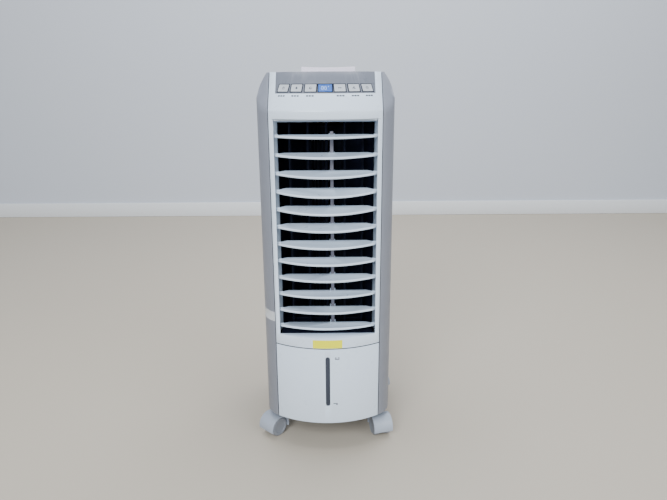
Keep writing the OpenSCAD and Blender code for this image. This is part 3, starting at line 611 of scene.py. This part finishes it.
def painted_key_gap_shade():
    """Painted shade in the gap round each key and round the display: one thin dark frame each."""
    frames = []
    for turn in (*KEY_TURNS, 0):
        width = KEY_W if turn else PANE_W
        bpy.ops.mesh.primitive_plane_add(size=1, location=(0, 0, 0))
        piece = bpy.context.active_object
        piece.scale = (width + 2 * SHADE_GAP, KEY_L + 2 * SHADE_GAP, 1)
        settle(piece)
        edit(piece)
        bpy.ops.mesh.select_all(action="SELECT")
        bpy.ops.mesh.inset(thickness=SHADE_LINE)
        bpy.ops.mesh.delete(type="FACE")
        leave()
        thicken(piece, 0.4 * MM)
        carry(piece, on_slope(turn * KEY_STEP, out=-0.15 * MM))
        frames.append(piece)
    key_gap_shade = join(frames, "painted_key_gap_shade")
    soften(key_gap_shade, 0.08 * MM)
    hand_over(key_gap_shade, "housing", duct_and_gap_shade)


painted_key_gap_shade()

# Three plain printed dashes stand for each key's caption.
CAPTION_DOWN = 17.5 * MM
DASH = (4.7 * MM, 2.8 * MM)
DASH_STEP = 5.6 * MM
for key_name, key_turn in zip(KEYS, KEY_TURNS):
    dashes = [bar(*DASH, (k * DASH_STEP, 0)) for k in (-1, 0, 1)]
    caption = join(dashes, key_name + "_caption")
    carry(caption, on_slope(key_turn * KEY_STEP, down=CAPTION_DOWN, out=-0.02 * MM))
    hand_over(caption, "housing", print_dark)


PANE_SUNK = 4 * MM
PANE_PROUD = 0.3 * MM
FIGURE_X = (-5.5, 0.5)
STROKE = 0.6 * MM


def display():
    """The display: a rounded pane with a sunk screen, two seven-stroke figures and a small ring."""
    piece = block(PANE_W, KEY_L, -PANE_SUNK, PANE_PROUD)
    sink_top(piece, PANE_PROUD, [(1.4 * MM, 0.4 * MM)])
    soften(piece, 0.3 * MM, 3, limit=50)
    piece.name = "display_pane"
    carry(piece, on_slope(0))
    hand_over(piece, "housing", screen_blue)
    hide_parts("display_lens")
    strokes = []
    for x in FIGURE_X:
        for y in (-3.4, 0, 3.4):
            strokes.append(bar(3.4 * MM, STROKE, (x * MM, y * MM)))
        for side in (-2.2, 2.2):
            for y in (-1.7, 1.7):
                strokes.append(bar(2.8 * MM, STROKE, ((x + side) * MM, y * MM), 90))
    strokes.append(ring(0.9 * MM, 0.35 * MM))
    carry(strokes[-1], Matrix.Translation((6.6 * MM, 3.2 * MM, 0)))
    digits = join(strokes, "display_digits")
    carry(digits, on_slope(0, out=-0.15 * MM))
    glow = moulded_plastic("display_glow", (0.55, 0.72, 0.98), 0.3, 0.02)
    shader = glow.node_tree.nodes["Principled BSDF"]
    shader.inputs["Emission Color"].default_value = (0.45, 0.65, 1.0, 1)
    shader.inputs["Emission Strength"].default_value = 0.4
    hand_over(digits, "housing", glow)


display()

# ---------- louvres ----------

for vane_name in [n for n in NODES if n.startswith("vane_") and n != "vane_link_bar"]:
    finished_moulding(vane_name, 0.35 * MM)
# The link bar gets a grey finish as painted shade over its white plastic.
link_bar = finished_moulding("vane_link_bar", 0.8 * MM)
hand_over(link_bar, "vane_link_bar", link_bar_painted_shade)
for swing_name in [n for n in NODES if n.startswith("swing_vane_")]:
    finished_moulding(swing_name, 0.25 * MM)

# ---------- water tank's front ----------

WINDOW_Z = (114 * MM, 236 * MM)
WINDOW_W = 11.5 * MM
RIM_OUT = 1.2 * MM
RIM_LINE = 1.9 * MM
RIM_PROUD = 0.9 * MM
RIM_Y = -169.1 * MM


def window_rim():
    """The raised rim that gives the level window its round ends."""
    length = WINDOW_Z[1] - WINDOW_Z[0]
    reach = (length - WINDOW_W) / 2 + RIM_OUT / 2
    piece = disc(WINDOW_W / 2 + RIM_OUT, 33)
    edit(piece)
    pick_points(piece, lambda p: p.y > 0.01 * MM)
    bpy.ops.transform.translate(value=(0, reach, 0))
    pick_points(piece, lambda p: p.y <= 0.01 * MM)
    bpy.ops.transform.translate(value=(0, -reach, 0))
    bpy.ops.mesh.select_mode(type="FACE")
    bpy.ops.mesh.select_all(action="SELECT")
    bpy.ops.mesh.inset(thickness=RIM_LINE)
    bpy.ops.mesh.delete(type="FACE")
    leave()
    thicken(piece, RIM_PROUD)
    piece.name = "window_rim"
    soften(piece, 0.25 * MM, 2, smooth=50)
    middle = (WINDOW_Z[0] + WINDOW_Z[1]) / 2
    carry(piece, Matrix.Translation((0, RIM_Y, middle))
          @ Matrix.Rotation(math.radians(90), 4, "X"))
    hand_over(piece, "tank", white)


window_rim()
finished_moulding("level_window", 0.3 * MM)


def on_bulge(x, z, out=0.0):
    """The place of a flat piece on the tank's bulged front."""
    turn = math.asin(x / BULGE_R)
    return (Matrix.Translation((0, BULGE_Y, 0)) @ Matrix.Rotation(turn, 4, "Z")
            @ Matrix.Translation((0, -BULGE_R - out, z)) @ Matrix.Rotation(math.radians(90), 4, "X"))


def level_mark(name, x, z, strokes):
    """A plain mark of a few strokes, each given by its length and place in millimetres."""
    bars = [bar(length * MM, 1.8 * MM, (across * MM, up * MM)) for length, across, up in strokes]
    piece = join(bars, name)
    carry(piece, on_bulge(x, z, -0.12 * MM))
    hand_over(piece, "tank", print_dark)


level_mark("full_mark", 21 * MM, 232 * MM, [(4.4, -3.2, 1.6), (4.4, 3.2, 1.6), (10.5, 0, -1.6)])
level_mark("low_mark", 17 * MM, 119 * MM, [(10.0, 0, 1.2), (4.0, 3.0, -1.4)])

# ---------- casters ----------

for corner in CORNERS:
    finished_moulding("caster_yoke_" + corner, 1.0 * MM, 3)
    finished_moulding("caster_wheels_" + corner, 1.1 * MM, 3, limit=30)


# ---------- floor, light and camera ----------

WALL_Y = 2.32
ROOM = 12
SKIRTING = (0.016, 0.09)


def floor():
    """A plain pale floor that ends at the wall."""
    bpy.ops.mesh.primitive_plane_add(size=ROOM, location=(0, WALL_Y - ROOM / 2, 0))
    ground = bpy.context.active_object
    ground.name = "floor"
    ground.data.materials.append(new_finish("pale_floor", (0.48, 0.425, 0.345), 0.6)[0])


def wall():
    """A plain pale wall with a low white skirting."""
    bpy.ops.mesh.primitive_plane_add(size=ROOM, location=(0, WALL_Y, ROOM / 2),
                                     rotation=(math.radians(90), 0, 0))
    back = bpy.context.active_object
    back.name = "backdrop"
    back.data.materials.append(new_finish("pale_wall", (0.58, 0.61, 0.67), 0.85)[0])
    thick, tall = SKIRTING
    bpy.ops.mesh.primitive_cube_add(size=1, location=(0, WALL_Y - thick / 2, tall / 2))
    skirting = bpy.context.active_object
    skirting.name = "backdrop_skirting"
    skirting.scale = (ROOM, thick, tall)
    settle(skirting)
    soften(skirting, 0.004)
    skirting.data.materials.append(new_finish("skirting_white", (0.76, 0.78, 0.80), 0.5)[0])


def soft_light(name, place, aim, size, power, colour):
    """A square area light that faces its aim."""
    data = bpy.data.lights.new(name, "AREA")
    data.size = size
    data.energy = power
    data.color = colour
    lamp = bpy.data.objects.new(name, data)
    bpy.context.scene.collection.objects.link(lamp)
    lamp.location = place
    lamp.rotation_euler = (Vector(aim) - Vector(place)).to_track_quat("-Z", "Y").to_euler()


SENSOR_W = 36
LENS = 30.7646177
CAMERA_PLACE = (0.0144, -1.314, 0.814)
CAMERA_DOWN = 16.15
CAMERA_ROLL = -0.37


def camera():
    """The camera in front of the body, looking a little down on it."""
    data = bpy.data.cameras.new("camera")
    data.sensor_width = SENSOR_W
    data.lens = LENS
    data.clip_start = 0.05
    cam = bpy.data.objects.new("camera", data)
    bpy.context.scene.collection.objects.link(cam)
    cam.location = CAMERA_PLACE
    cam.rotation_euler = (math.radians(90 - CAMERA_DOWN), 0, 0)
    cam.rotation_euler.rotate_axis("Z", math.radians(CAMERA_ROLL))
    bpy.context.scene.camera = cam


DAY = (0.90, 0.95, 1.0)
PALE_DAY = (0.93, 0.96, 1.0)

floor()
wall()
soft_light("key_light", (-0.9, -3.0, 2.3), (0, 0, 0.55), 1.8, 135, DAY)
soft_light("fill_light", (2.2, -2.2, 1.6), (0, 0, 0.45), 2.2, 50, DAY)
soft_light("top_light", (0, 0.4, 3.2), (0, 0.2, 0.4), 2.4, 30, PALE_DAY)
soft_light("back_light", (1.6, 2.0, 2.6), (0, 0, 0.4), 1.6, 22, PALE_DAY)
soft_light("wall_light", (0, 0.6, 3.4), (0, 2.4, 0.9), 2.4, 70, PALE_DAY)
world = bpy.data.worlds.new("studio")
world.use_nodes = True
world.node_tree.nodes["Background"].inputs["Color"].default_value = (0.88, 0.93, 1.0, 1)
world.node_tree.nodes["Background"].inputs["Strength"].default_value = 0.5
bpy.context.scene.world = world
camera()
